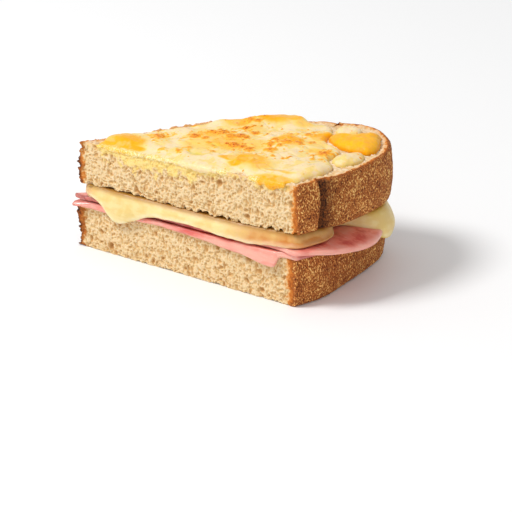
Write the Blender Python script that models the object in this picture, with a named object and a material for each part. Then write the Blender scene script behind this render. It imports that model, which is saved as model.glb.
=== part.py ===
# Half of a ham and cheese toastie: two thick slices of bread, cut across, with two slices of ham and
# a thick melted slice of cheese between them, and melted cheese grilled on top.
# Lengths are in millimetres until a mesh is made. The cut face runs along +X, from the pointed end of
# the half to its broad end, and looks along -Y. Heights are measured from the underside of the bread.

import math

import bpy
import numpy as np
from mathutils import Vector, noise

MM = 0.001

# Driving sizes
CUT_LENGTH = 96.0
LOWER_SLICE = (15.7, 17.6)     # thickness of the lower slice at the pointed end and at the broad end
FILLING = (8.5, 9.2)           # room between the two slices, at the same two ends
UPPER_SLICE = (16.1, 18.1)
HAM_THICKNESS = 1.7
DROOP_FROM = 98.0              # past the lower slice's crust the filling sags, by this much per mm squared
DROOP = 0.012
# The lower ham's flap at the cut: places along it, and the length and the bend of the flap there
FLAP_PLACES = (46, 57, 66, 73, 79, 86.4, 88.8)
FLAP_LENGTHS = (0, 0.7, 1.6, 2.2, 3.0, 4.3, 0)
FLAP_BENDS = (8, 35, 58, 62, 66, 72, 8)
FLAP_ROOT = (98.0, 38.0)       # where in plan the cheese's thinner flap leaves the slices
CLEARANCE = 0.3                # left between pieces that lie on each other

# The crusted sides in plan, from the broad end's corner round the back to the pointed end's corner
LOWER_CRUST = [(96, 0), (99.2, 10), (98.9, 25), (97.5, 42), (94.5, 56), (87, 63), (76, 63.8),
               (62, 60), (45, 50.4), (30, 38), (18, 20.5), (8.4, 8.5), (0, 0)]
UPPER_CRUST = [(97.2, 0), (100.6, 8), (104, 17), (105.2, 30), (104.2, 43), (98.4, 54), (89, 62.2),
               (80.5, 64.4), (72.5, 62.6), (62, 60), (54, 56.8), (45, 50.4), (30, 38), (18, 20.5),
               (8.4, 8.5), (0.8, 0)]
# Folds in the upper slice's crust: a point in plan near the fold, its depth, and how slowly it fills out
CRUST_FOLDS = [((100.1, 6.9), 1.9, 3.4), ((72, 62.5), 1.6, 2.6)]
MIDDLE = (58.0, 25.0)

CUT_STEPS = 36
CRUST_STEPS = 42
FILLING_STEPS = 60             # along the crusted sides of the ham and of the cheese between the slices
TOPPING_STEPS = 32
CRUST_BULGE = 0.9
CRUST_LIP = 0.5                # where no cheese covers it, the rim of crust stands this much higher
BARE_FROM = 66.0               # the crust is bare at the broad end, from this far along the cut
EDGE_ROUND = 1.1
CRUMB_RELIEF = 0.55
FLOOR_INSET = 2.0              # the flat foot starts this far inside the crust
CUT_ROUND = 0.35               # the crumb's cut edges are nearly sharp

COLOURS = {
    "bread": (0.77, 0.54, 0.27),
    "ham": (0.72, 0.25, 0.17),
    "cheese": (0.86, 0.66, 0.30),
    "cheddar": (0.92, 0.50, 0.05),
    "pale_melt": (0.91, 0.70, 0.30),
}


def along(ends, x):
    """A size that changes evenly along the cut, from the pointed end to the broad end."""
    share = np.clip(np.asarray(x, float) / CUT_LENGTH, -0.05, 1.15)
    return ends[0] + (ends[1] - ends[0]) * share


def rough(x, y, scale, seed):
    """Smooth noise from about -1 to 1 with features of the given size."""
    flat = np.broadcast_arrays(np.asarray(x, float), np.asarray(y, float))
    values = [noise.noise(Vector((a / scale, b / scale, seed))) for a, b in zip(flat[0].flat, flat[1].flat)]
    return 1.6 * np.array(values).reshape(flat[0].shape)


def bump(distance, half_width):
    """1 in the middle, falling smoothly to 0 at half_width."""
    share = np.clip(np.abs(distance) / half_width, 0, 1)
    return 0.5 + 0.5 * np.cos(math.pi * share)


def smooth_through(knots, per_span=24):
    """A smooth curve through the knots, and smooth at its ends too where it comes back to its start."""
    knots = np.array(knots, float)
    closed = np.allclose(knots[0], knots[-1])
    before, after = (knots[-2], knots[1]) if closed else (2 * knots[0] - knots[1], 2 * knots[-1] - knots[-2])
    ends = np.vstack([before, knots, after])
    t = np.linspace(0, 1, per_span, endpoint=False)[:, None]
    spans = [
        0.5 * (2 * b + (c - a) * t + (2 * a - 5 * b + 4 * c - d) * t**2 + (3 * b - a - 3 * c + d) * t**3)
        for a, b, c, d in zip(ends, ends[1:], ends[2:], ends[3:])
    ]
    return np.vstack([*spans, knots[-1:]])


def evenly(curve, count, extra=()):
    """count points spaced evenly along an open curve, with its start and without its end, and the extra
    distances along it."""
    length = np.r_[0, np.cumsum(np.linalg.norm(np.diff(curve, axis=0), axis=1))]
    at = np.sort(np.r_[np.linspace(0, length[-1], count, endpoint=False), extra])
    return np.c_[np.interp(at, length, curve[:, 0]), np.interp(at, length, curve[:, 1])]


def outward(ring):
    """Unit normals of a closed ring of plan points that runs anticlockwise."""
    step = np.roll(ring, -1, axis=0) - np.roll(ring, 1, axis=0)
    normal = np.c_[step[:, 1], -step[:, 0]]
    return normal / np.linalg.norm(normal, axis=1, keepdims=True)


def distance_along(ring):
    """How far each point of a ring lies from the first, along it."""
    return np.r_[0, np.cumsum(np.linalg.norm(np.diff(ring, axis=0), axis=1))]


def slice_outline(crust, folds=(), steps=CRUST_STEPS):
    """The cut edge, then the crust, anticlockwise from the pointed end. Each fold steps in sharply and
    fills out again behind the step."""
    cut = np.linspace(crust[-1], crust[0], CUT_STEPS, endpoint=False)
    curve = smooth_through(crust)
    length = distance_along(curve)
    starts = [length[np.argmin(np.linalg.norm(curve - near, axis=1))] for near, _, _ in folds]
    extra = [start + step for start in starts for step in (-0.3, 0.3, 1.5, 3.0)]
    ring = np.vstack([cut, evenly(curve, steps, extra)])
    normal = outward(ring)
    place = distance_along(ring) - crust[0][0] + crust[-1][0]
    for start, (_, depth, fill) in zip(starts, folds):
        behind = np.where(place > start, np.exp(-np.abs(place - start) / fill), 0)
        ring = ring - normal * (depth * behind)[:, None]
    return ring


def floor(x, y):
    return 0 * np.asarray(x, float)


def lower_top(x, y):
    """Height of the lower slice's upper face."""
    x, y = np.asarray(x, float), np.asarray(y, float)
    return along(LOWER_SLICE, x) + 0.3 * np.sin(x / 14 + 0.4) * np.cos(y / 17)


def upper_bottom(x, y):
    return lower_top(x, y) + along(FILLING, x)


def upper_top(x, y):
    x, y = np.asarray(x, float), np.asarray(y, float)
    return upper_bottom(x, y) + along(UPPER_SLICE, x) - 0.3 * np.sin(x / 14 + 0.4) * np.cos(y / 17)


def add_solid(name, rows, low_centre, high_centre, material):
    """One closed mesh: rings from the underside's middle, out to the rim and back to the top's middle."""
    count = len(rows[0])
    points = np.vstack([*rows, [low_centre], [high_centre]]) * MM
    low, high = len(points) - 2, len(points) - 1
    faces = []
    for row in range(len(rows) - 1):
        for i in range(count):
            j = (i + 1) % count
            here, there = row * count, (row + 1) * count
            faces.append((here + i, here + j, there + j, there + i))
    last = (len(rows) - 1) * count
    for i in range(count):
        j = (i + 1) % count
        faces.append((low, j, i))
        faces.append((high, last + i, last + j))
    mesh = bpy.data.meshes.new(name)
    mesh.from_pydata(points.tolist(), [], faces)
    mesh.materials.append(finish(material))
    mesh.shade_smooth()
    mesh.set_sharp_from_angle(angle=math.radians(50))
    solid = bpy.data.objects.new(name, mesh)
    bpy.context.scene.collection.objects.link(solid)
    return solid


def finish(name):
    material = bpy.data.materials.get(name)
    if material is None:
        material = bpy.data.materials.new(name)
        material.use_nodes = True
        shader = material.node_tree.nodes["Principled BSDF"]
        shader.inputs["Base Color"].default_value = (*COLOURS[name], 1)
        shader.inputs["Roughness"].default_value = 0.85 if name == "bread" else 0.35
    return material


def raised(plan, height):
    return np.c_[plan, height]


def bread_slice(name, outline, bottom, top, flat_foot=False, lip=0.0):
    """A slice with a rough cut face, a bulging crust and a rim of crust round its upper face."""
    centre = np.array(MIDDLE)
    reach = np.linalg.norm(outline - centre, axis=1, keepdims=True)
    normal = outward(outline)
    is_cut = np.arange(len(outline)) <= CUT_STEPS

    def inset(at_crust, at_cut):
        distance = np.where(is_cut, at_cut, at_crust)[:, None]
        return centre + (outline - centre) * (1 - distance / reach)

    def wall(share):
        height = (1 - share) * bottom(*outline.T) + share * top(*outline.T)
        crumb = CRUMB_RELIEF * rough(outline[:, 0], height, 3.4, len(name))
        crust = CRUST_BULGE * math.sin(math.pi * share) + 0.35 * rough(*outline.T, 9.0, 3.0)
        proud = np.where(is_cut, crumb, crust)
        return raised(outline + normal * proud[:, None], height)

    def face(plan, height, lift=0.0):
        return raised(plan, height(*plan.T) + lift)

    rounding = EDGE_ROUND / (top(*MIDDLE) - bottom(*MIDDLE))
    foot = FLOOR_INSET if flat_foot else EDGE_ROUND
    crust_lip = np.where(is_cut | (outline[:, 0] < BARE_FROM), 0.0, lip)
    rows = [face(centre + (outline - centre) * 0.45, bottom)]
    rows.append(face(inset(foot, CUT_ROUND), bottom))
    rows += [wall(share) for share in (rounding, 0.27, 0.5, 0.73, 1 - rounding)]
    rows.append(face(inset(EDGE_ROUND, CUT_ROUND), top, crust_lip))
    rows.append(face(inset(3 * EDGE_ROUND, 3 * EDGE_ROUND), top))
    rows.append(face(centre + (outline - centre) * 0.5, top))
    low = (*MIDDLE, float(bottom(*MIDDLE)))
    high = (*MIDDLE, float(top(*MIDDLE)))
    return add_solid(name, rows, low, high, "bread")


def sheet(name, material, centre, edge, under, thickness, overhang=0.0, bend=0.0, radius=1.0, lead=0.8,
          rounding=1.5, rim=0.3, inner=(0.5,), steps=2, normal=None):
    """A soft layer that lies on `under` as far as its edge and past it for the length of `lead`, then
    turns down by `bend` radians round the given radius, until `overhang` is used up."""
    count = len(edge)
    centre = np.array(centre, float)
    normal = outward(edge) if normal is None else normal
    overhang = np.broadcast_to(np.asarray(overhang, float), count)
    bend = np.broadcast_to(np.asarray(bend, float), count)
    size = np.linalg.norm(edge - centre, axis=1)

    def depth(left):
        share = np.clip(left / rounding, 0, 1)
        return rim + (1 - rim) * np.sqrt(1 - (1 - share) ** 2)

    def resting(share):
        plan = centre + (edge - centre) * share
        low = raised(plan, under(*plan.T))
        thick = thickness(*plan.T) * depth(size * (1 - share) + overhang)
        return low, low + np.c_[np.zeros((count, 2)), thick]

    def hanging(share):
        run = overhang * share
        turn = np.clip((run - lead) / radius, 0, bend)
        past = np.clip(run - lead - radius * bend, 0, None)
        out = np.minimum(run, lead) + radius * np.sin(turn) + past * np.cos(bend)
        down = radius * (1 - np.cos(turn)) + past * np.sin(bend)
        plan = edge + normal * out[:, None]
        low = raised(plan, under(*plan.T) - down)
        thick = (thickness(*edge.T) * depth(overhang * (1 - share)))[:, None]
        up = np.c_[normal * np.sin(turn)[:, None], np.cos(turn)]
        return low, low + up * thick

    def rim_row(low, high):
        turn = np.clip((overhang - lead) / radius, 0, bend)
        ahead = np.c_[normal * np.cos(turn)[:, None], -np.sin(turn)]
        thick = np.linalg.norm(high - low, axis=1, keepdims=True)
        return (low + high) / 2 + 0.3 * ahead * thick

    pairs = [resting(share) for share in (*inner, 1.0)]
    if overhang.max() > 0:
        pairs += [hanging(share) for share in np.linspace(0, 1, steps + 1)[1:]]
    lows = [low for low, _ in pairs]
    highs = [high for _, high in pairs]
    rows = [*lows, rim_row(lows[-1], highs[-1]), *highs[::-1]]
    middle = float(under(*centre))
    low_centre = (*centre, middle)
    high_centre = (*centre, middle + float(thickness(*centre)))
    return add_solid(name, rows, low_centre, high_centre, material)


def moved_in(ring, distance):
    """The ring with each point drawn towards the middle by its distance."""
    centre = np.array(MIDDLE)
    reach = np.linalg.norm(ring - centre, axis=1, keepdims=True)
    return centre + (ring - centre) * (1 - np.reshape(distance, (-1, 1)) / reach)


def peaks(place, *marks):
    """The sum of bumps along an outline, each given by its place, half width and height."""
    return sum(height * bump(place - at, half_width) for at, half_width, height in marks)


def filling_bed(x, y, droop=DROOP):
    """Height of the lower slice's face carried on past its edge, where the filling begins to droop."""
    past = np.clip(np.asarray(x, float) - DROOP_FROM, 0, None)
    return lower_top(x, y) - droop * past**2


def lower_ham(support):
    """Shows as a thin strip along the cut. One flap hangs down there and ends squarely."""
    place = distance_along(support)
    overhang = 1.1 + peaks(place, (0, 7, 1.8), (place[-1] + 3, 8, 1.6))
    overhang = overhang + np.interp(place, FLAP_PLACES, FLAP_LENGTHS)
    bend = np.radians(np.interp(place, FLAP_PLACES, FLAP_BENDS))
    return sheet("ham_lower", "ham", MIDDLE, support, lambda x, y: filling_bed(x, y) + CLEARANCE,
                 ham_thickness, overhang, bend, radius=0.9, lead=1.0, rounding=0.4, rim=0.8)


def ham_thickness(x, y):
    return HAM_THICKNESS + 0 * x


def lobe(place):
    """How far the upper ham reaches past the lower slice."""
    return 0.4 + peaks(place, (0, 7, 0.9), (160, 9, 1.4), (120, 34, 11.3))


def upper_ham(support):
    """Sticks out past the broad end as a rounded lobe, and past the pointed end as a tip."""
    overhang = lobe(distance_along(support))
    return sheet("ham_upper", "ham", MIDDLE, support,
                 lambda x, y: filling_bed(x, y) + 2 * CLEARANCE + HAM_THICKNESS,
                 ham_thickness, overhang, lead=overhang, rounding=0.5, rim=0.75)


def melted_slice(lower):
    """Cheese that has run over the ham: a drip near the pointed end, and a flap over the ham's lobe."""
    place = distance_along(lower)
    drawn_in = 5.0 * bump(place - 121, 11) + 4.0 * (bump(place, 5) + bump(place - place[-1], 9))
    support = moved_in(lower, drawn_in)
    drip = bump(place - 19, 14)
    flap = np.interp(place, (124.5, 127.8, 131.5, 137.5, 147), (0, 0.65, 1, 0.85, 0))
    overhang = 1.6 + peaks(place, (17.6, 8, 6.4), (25, 8, 4.6), (38, 14, 0.7), (76, 14, 0.4), (99, 8, 0.8))
    overhang = overhang + flap * (lobe(place) + 4.4)
    lead = np.maximum(0.9 + 0.8 * drip, lobe(place) + 0.7 + 0.2 * flap + drawn_in)
    bend = np.radians(65 + 25 * np.clip(1.7 * drip, 0, 1) + 20 * flap)
    radius = 0.8 + 0.8 * np.clip(1.7 * drip, 0, 1) + 0.3 * flap
    height = 3 * CLEARANCE + 2 * HAM_THICKNESS

    def thickness(x, y):
        full = along(FILLING, x) - height - CLEARANCE
        at_flap = bump(np.hypot(np.asarray(x) - FLAP_ROOT[0], np.asarray(y) - FLAP_ROOT[1]), 14)
        return full * (1 - 0.5 * at_flap - 0.2 * np.clip((np.asarray(y) - 50) / 10, 0, 1))

    return sheet("cheese_slice", "cheese", MIDDLE, support,
                 lambda x, y: filling_bed(x, y, 0.8 * DROOP) + height, thickness,
                 overhang, bend, radius=radius, lead=lead, rounding=2.4, rim=0.3, inner=(0.5, 0.85),
                 steps=5, normal=outward(lower))


def on_bread(x, y):
    return upper_top(x, y) + CLEARANCE


# The melted topping in plan: its cut edge lies along the bread's, and the rest runs back over it
TOPPING_BACK = [(91, 0), (93.5, 4), (96.3, 11), (97.0, 18.5), (94.5, 22.9), (92.2, 24.9), (90.6, 28.5),
                (90.8, 32), (89.6, 35.8), (84, 38.8), (80, 41.2), (77.6, 45.3), (77.6, 49), (75.4, 51),
                (73.4, 54), (69.5, 55), (65, 54), (59.5, 56.2), (53, 55.4), (45, 48.8), (33, 38.8),
                (24, 27.6), (16, 16.6), (9.2, 7.8), (8.8, 0)]
# Swellings of the topping: plan x and y, half width, height
SWELLINGS = [(16, 5, 9, 1.0), (47, 49, 14, 2.0), (58, 52, 10, 1.2), (41, 41, 10, 0.8), (66, 12, 8, 0.5),
             (92, 15, 9, 0.8), (84, 2, 8, 0.5), (45, 24, 14, 0.5), (68, 33, 12, 0.7), (28, 24, 8, 0.4)]


def topping_thickness(x, y):
    x, y = np.asarray(x, float), np.asarray(y, float)
    thick = 1.5 + 0.35 * rough(x, y, 8.0, 5.0)
    for at_x, at_y, half_width, height in SWELLINGS:
        thick = thick + height * bump(np.hypot(x - at_x, y - at_y), half_width)
    return thick


def melted_topping():
    front = np.linspace(TOPPING_BACK[-1], TOPPING_BACK[0], TOPPING_STEPS, endpoint=False)
    edge = np.vstack([front, evenly(smooth_through(TOPPING_BACK), TOPPING_STEPS)])
    runs_over = np.arange(len(edge)) <= TOPPING_STEPS
    overhang = 0.8 + peaks(edge[:, 0], (24, 14, 1.2), (57, 12, 1.5), (84, 8, 1.8))
    return sheet("melted_topping", "pale_melt", (52, 25), edge, on_bread, topping_thickness,
                 np.where(runs_over, overhang, 0), math.radians(80), radius=0.6, lead=1.0,
                 rounding=3.0, rim=0.2, inner=(0.2, 0.4, 0.6, 0.78, 0.9, 0.965))


# Pieces of cheese that kept a shape of their own beside the melt: material, height and outline in plan
LUMPS = {
    "cheddar_lump": ("cheddar", 3.6, [(99.4, 38.6), (98.6, 47), (92.5, 55.5), (86, 50.5), (80, 45.4),
                                      (83, 41.2), (91, 38.8)]),
    "pale_lump_right": ("pale_melt", 3.0, [(100.8, 31.2), (98, 36), (94.5, 34.3), (92.2, 29.2),
                                           (94.2, 25.4), (98.4, 24.8)]),
    "pale_lump_back": ("pale_melt", 2.4, [(83.8, 53.8), (82.2, 57.6), (78.6, 58.6), (75.4, 56.6),
                                          (76.2, 53), (80, 51.2)]),
}


def cheese_lump(name, material, height, knots):
    knots = [*knots, knots[0]]
    edge = evenly(smooth_through(knots), 24)
    centre = edge.mean(axis=0)
    reach = np.linalg.norm(edge - centre, axis=1).min()
    return sheet(name, material, centre, edge, on_bread, lambda x, y: height + 0 * np.asarray(x, float),
                 rounding=0.95 * reach, rim=0.18, inner=(0.4, 0.7, 0.9))


def centre_on_floor(solids):
    """Puts the middle of the whole toastie's box over the origin."""
    corners = np.array([corner for solid in solids for corner in solid.bound_box])
    middle = (corners.min(axis=0) + corners.max(axis=0)) / 2
    for solid in solids:
        for vertex in solid.data.vertices:
            vertex.co.x -= middle[0]
            vertex.co.y -= middle[1]


def build():
    for old in list(bpy.data.objects):
        bpy.data.objects.remove(old)
    lower = slice_outline(LOWER_CRUST)
    filling = slice_outline(LOWER_CRUST, steps=FILLING_STEPS)
    upper = slice_outline(UPPER_CRUST, CRUST_FOLDS)
    solids = [
        bread_slice("bread_lower", lower, floor, lower_top, flat_foot=True),
        bread_slice("bread_upper", upper, upper_bottom, upper_top, lip=CRUST_LIP),
        lower_ham(filling),
        upper_ham(filling),
        melted_slice(filling),
        melted_topping(),
    ]
    solids += [cheese_lump(name, *lump) for name, lump in LUMPS.items()]
    bpy.context.view_layer.update()
    centre_on_floor(solids)


build()
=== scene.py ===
# The looks of half a toasted ham and cheese sandwich, cut across, with cheese grilled on top.
# Shapes are worked out in millimetres in the maker's layout: +X along the cut to the broad end,
# +Y back into the bread, +Z up. They become metres, centred like the CAD, when a piece is made.
import math

import bpy
import numpy as np
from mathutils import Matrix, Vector


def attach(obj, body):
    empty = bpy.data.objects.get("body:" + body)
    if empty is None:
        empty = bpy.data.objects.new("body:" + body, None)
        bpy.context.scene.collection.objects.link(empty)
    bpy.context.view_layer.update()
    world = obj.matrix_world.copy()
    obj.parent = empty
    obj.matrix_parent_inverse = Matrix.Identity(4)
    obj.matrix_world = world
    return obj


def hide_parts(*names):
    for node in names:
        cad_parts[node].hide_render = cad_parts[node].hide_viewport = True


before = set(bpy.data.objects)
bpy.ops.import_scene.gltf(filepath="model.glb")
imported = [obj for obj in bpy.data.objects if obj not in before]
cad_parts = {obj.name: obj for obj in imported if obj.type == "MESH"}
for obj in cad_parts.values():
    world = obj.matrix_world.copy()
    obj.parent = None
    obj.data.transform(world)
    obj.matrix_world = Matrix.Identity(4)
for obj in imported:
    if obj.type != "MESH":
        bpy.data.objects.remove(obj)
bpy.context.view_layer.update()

mm = 0.001
boxMiddle = (53.9290, 29.4697)     # the layout's place for the middle of the CAD box

toastie = dict(
    cutLength=96.0,
    lowerSlice=(15.7, 17.6),       # thickness at the pointed end and at the broad end
    filling=(8.5, 9.2),
    upperSlice=(16.1, 18.1),
    hamThickness=1.7,
    gap=0.3,
    droopFrom=98.0,                # the filling sags past this, by droop for each mm squared
    droop=0.012,
    middle=np.array((58.0, 25.0)),
    fillingPoints=(230, 270),      # points along the cut and along the crust, for ham and cheese
)

hashPrimes = (73856093, 19349663, 83492791)
hashMixers = (2246822519, 3266489917)


def scattered(*cell, seed=0):
    # a repeatable random number from 0 to 1 for each whole-numbered cell
    mixed = np.full(np.broadcast(*cell).shape, seed * 7919 + 17, np.int64)
    for part, prime in zip(cell, hashPrimes):
        mixed = mixed ^ (np.asarray(part).astype(np.int64) * prime)
    for shift, mixer in zip((15, 13), hashMixers):
        mixed = ((mixed ^ (mixed >> shift)) * mixer) & 0xffffffff
    return (mixed ^ (mixed >> 16)) / 0xffffffff


def cloudy(x, y, z=0.0, size=1.0, seed=0):
    # smooth random values from -1 to 1, with features of the given size
    spots = [v / size for v in np.broadcast_arrays(*(np.asarray(v, float) for v in (x, y, z)))]
    cells = [np.floor(v) for v in spots]
    shares = [v - c for v, c in zip(spots, cells)]
    shares = [s**3 * (s * (6 * s - 15) + 10) for s in shares]
    total = 0.0
    for corner in range(8):
        step = [corner & 1, corner >> 1 & 1, corner >> 2]
        weight = 1.0
        for s, d in zip(shares, step):
            weight = weight * (s if d else 1 - s)
        total = total + weight * scattered(*(c + d for c, d in zip(cells, step)), seed=seed)
    return 2 * total - 1


def layered(x, y, z=0.0, size=1.0, seed=0, layers=3):
    # the same with finer and finer layers added
    total = sum(0.55**k * cloudy(x, y, z, size * 0.5**k, seed + k) for k in range(layers))
    return total / sum(0.55**k for k in range(layers))


def pits(u, v, cell, radius, share, seed, tall=1.0):
    # depth from 0 to 1 of round holes, one to a cell where there is one at all
    u, v = np.asarray(u, float), np.asarray(v, float) / tall
    column, row = np.floor(u / cell), np.floor(v / cell)
    deepest = np.zeros(np.broadcast(u, v).shape)
    for du in (-1, 0, 1):
        for dv in (-1, 0, 1):
            a, b = column + du, row + dv
            middleU = (a + 0.15 + 0.7 * scattered(a, b, seed=seed)) * cell
            middleV = (b + 0.15 + 0.7 * scattered(a, b, seed=seed + 1)) * cell
            size = 0.45 + 0.55 * scattered(a, b, seed=seed + 2)
            squash = 0.72 + 0.56 * scattered(a, b, seed=seed + 3)
            away = np.hypot((u - middleU) / squash, (v - middleV) * squash) / (radius * size)
            deep = size * np.sqrt(np.clip(1 - away**2, 0, 1))
            deepest = np.maximum(deepest, np.where(scattered(a, b, seed=seed + 4) < share, deep, 0))
    return deepest


def bump(distance, halfWidth):
    # 1 in the middle, falling smoothly to 0 at halfWidth
    return 0.5 + 0.5 * np.cos(math.pi * np.clip(np.abs(distance) / halfWidth, 0, 1))


def eased(value, low, high):
    # 0 below low, 1 above high and a smooth step between
    share = np.clip((value - low) / (high - low), 0, 1)
    return share * share * (3 - 2 * share)


def readOff(table, x):
    # the value at x from a list of places and their values
    return np.interp(x, *zip(*table))


def along(ends, x):
    share = np.clip(np.asarray(x, float) / toastie["cutLength"], -0.05, 1.15)
    return ends[0] + (ends[1] - ends[0]) * share


def smoothThrough(knots, perSpan=40):
    # a smooth curve through plan points, or smooth rows through whole rings of points
    knots = np.array(knots, float)
    if np.allclose(knots[0], knots[-1]):
        before, after = knots[-2], knots[1]
    else:
        before, after = 2 * knots[0] - knots[1], 2 * knots[-1] - knots[-2]
    ends = np.concatenate([before[None], knots, after[None]])
    t = np.linspace(0, 1, perSpan, endpoint=False).reshape(-1, *[1] * (knots.ndim - 1))
    spans = [
        0.5 * (2 * b + (c - a) * t + (2 * a - 5 * b + 4 * c - d) * t**2
               + (3 * b - a - 3 * c + d) * t**3)
        for a, b, c, d in zip(ends, ends[1:], ends[2:], ends[3:])
    ]
    return np.concatenate([*spans, knots[-1:]])


def distanceAlong(ring):
    return np.r_[0, np.cumsum(np.linalg.norm(np.diff(ring, axis=0), axis=1))]


def evenly(curve, count):
    # count points along an open curve, with its start and without its end
    length = distanceAlong(curve)
    at = np.linspace(0, length[-1], count, endpoint=False)
    return np.c_[np.interp(at, length, curve[:, 0]), np.interp(at, length, curve[:, 1])]


def evenedOut(values, rounds):
    # a closed run of numbers or points, each drawn towards its two neighbours again and again
    for _ in range(rounds):
        values = (np.roll(values, 1, axis=0) + 2 * values + np.roll(values, -1, axis=0)) / 4
    return values


def outward(ring, spread=0):
    # unit normals of an anticlockwise ring, evened out over a few points for a rounder corner
    step = np.roll(ring, -1, axis=0) - np.roll(ring, 1, axis=0)
    normal = np.c_[step[:, 1], -step[:, 0]]
    normal = evenedOut(normal / np.linalg.norm(normal, axis=1, keepdims=True), spread)
    return normal / np.linalg.norm(normal, axis=1, keepdims=True)


def sliceOutline(crust, cutCount, crustCount, folds=()):
    # the cut edge and then the crust; each fold steps in sharply and fills out again behind
    cut = np.linspace(crust[-1], crust[0], cutCount, endpoint=False)
    curve = smoothThrough(crust)
    length = distanceAlong(curve)
    ring = np.vstack([cut, evenly(curve, crustCount)])
    place = distanceAlong(ring)
    normal = outward(ring)
    # how far behind a fold each point lies; it later sets the painted shade behind the fold
    crease = np.zeros(len(ring))
    for near, depth, fill in folds:
        start = length[np.argmin(np.linalg.norm(curve - near, axis=1))] + place[cutCount]
        behind = np.where(place > start, np.exp(-np.abs(place - start) / fill), 0)
        ring = ring - normal * (depth * behind)[:, None]
        crease = np.maximum(crease, behind)
    return ring, crease


def distanceTo(curve, points):
    # how far each plan point lies from an open curve
    flat = points.reshape(-1, 2)
    nearest = np.full(len(flat), np.inf)
    for a, b in zip(curve[:-1], curve[1:]):
        edge = b - a
        share = np.clip(((flat - a) @ edge) / (edge @ edge), 0, 1)
        nearest = np.minimum(nearest, np.linalg.norm(flat - a - share[:, None] * edge, axis=1))
    return nearest.reshape(points.shape[:-1])


def swing(x, y):
    # how the slices' faces between bread and filling rise and fall
    return 0.3 * np.sin(np.asarray(x) / 14 + 0.4) * np.cos(np.asarray(y) / 17)


def floorHeight(x, y):
    return 0 * np.asarray(x, float)


def lowerTop(x, y):
    return along(toastie["lowerSlice"], x) + swing(x, y)


def upperBottom(x, y):
    return lowerTop(x, y) + along(toastie["filling"], x)


def upperTop(x, y):
    return upperBottom(x, y) + along(toastie["upperSlice"], x) - swing(x, y)


def fillingBed(x, y, share=1.0):
    past = np.clip(np.asarray(x, float) - toastie["droopFrom"], 0, None)
    return lowerTop(x, y) - share * toastie["droop"] * past**2


def softened(rows, amount):
    # moves a grid of rings along its outward normals; rows run from the underside out and over
    across = np.roll(rows, -1, axis=1) - np.roll(rows, 1, axis=1)
    normal = np.cross(across, np.gradient(rows, axis=0))
    normal = normal / np.maximum(np.linalg.norm(normal, axis=2, keepdims=True), 1e-9)
    return rows + normal * amount[..., None]


def addPiece(name, node, slotName, rows, finish, **layers):
    # one closed mesh from a stack of rings, with named numbers on its points for the finish
    count = rows.shape[1]
    low, high = rows[0].mean(axis=0), rows[-1].mean(axis=0)
    points = (np.vstack([rows.reshape(-1, 3), low, high]) - (*boxMiddle, 0)) * mm
    here = np.arange(len(rows) - 1)[:, None] * count + np.arange(count)
    there = np.arange(len(rows) - 1)[:, None] * count + np.roll(np.arange(count), -1)
    quads = np.stack([here, there, there + count, here + count], axis=-1).reshape(-1, 4)
    i, j = np.arange(count), np.roll(np.arange(count), -1)
    last = (len(rows) - 1) * count
    lowFan = np.c_[np.full(count, len(points) - 2), j, i]
    highFan = np.c_[np.full(count, len(points) - 1), last + i, last + j]
    mesh = bpy.data.meshes.new(name)
    mesh.from_pydata(points.tolist(), [], [*quads.tolist(), *lowFan.tolist(), *highFan.tolist()])
    mesh.shade_smooth()
    for layer, values in layers.items():
        values = np.broadcast_to(values, rows.shape[:2])
        flat = np.r_[values.ravel(), values[0].mean(), values[-1].mean()]
        mesh.attributes.new(layer, "FLOAT", "POINT").data.foreach_set("value", flat.astype(np.float32))
    mesh.materials.append(finish)
    piece = bpy.data.objects.new(name, mesh)
    bpy.context.scene.collection.objects.link(piece)
    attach(piece, "root")
    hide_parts(node)
    print(f"{name}: {len(mesh.polygons)} faces")


def paint(red, green, blue):
    # a picked colour, 0 to 255, as Blender's light values
    parts = [v / 255 for v in (red, green, blue)]
    return (*(p / 12.92 if p <= 0.04045 else ((p + 0.055) / 1.055)**2.4 for p in parts), 1.0)


class Wire:
    # a node's output that takes part in Python sums
    def __init__(self, finish, socket):
        self.finish = finish
        self.socket = socket

    def worked(self, operation, first, second, clamp=False):
        return self.finish.node("ShaderNodeMath", {"operation": operation, "use_clamp": clamp},
                                {0: first, 1: second})

    def __add__(self, other):
        return self.worked("ADD", self, other)

    def __radd__(self, other):
        return self.worked("ADD", other, self)

    def __sub__(self, other):
        return self.worked("SUBTRACT", self, other)

    def __rsub__(self, other):
        return self.worked("SUBTRACT", other, self)

    def __mul__(self, other):
        return self.worked("MULTIPLY", self, other)

    def __rmul__(self, other):
        return self.worked("MULTIPLY", other, self)

    def held(self):
        # kept between 0 and 1
        return self.worked("ADD", self, 0.0, clamp=True)

    def eased(self, low, high):
        return self.finish.node("ShaderNodeMapRange", {"interpolation_type": "SMOOTHSTEP"},
                                {"Value": self, "From Min": low, "From Max": high}, "Result")


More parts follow.
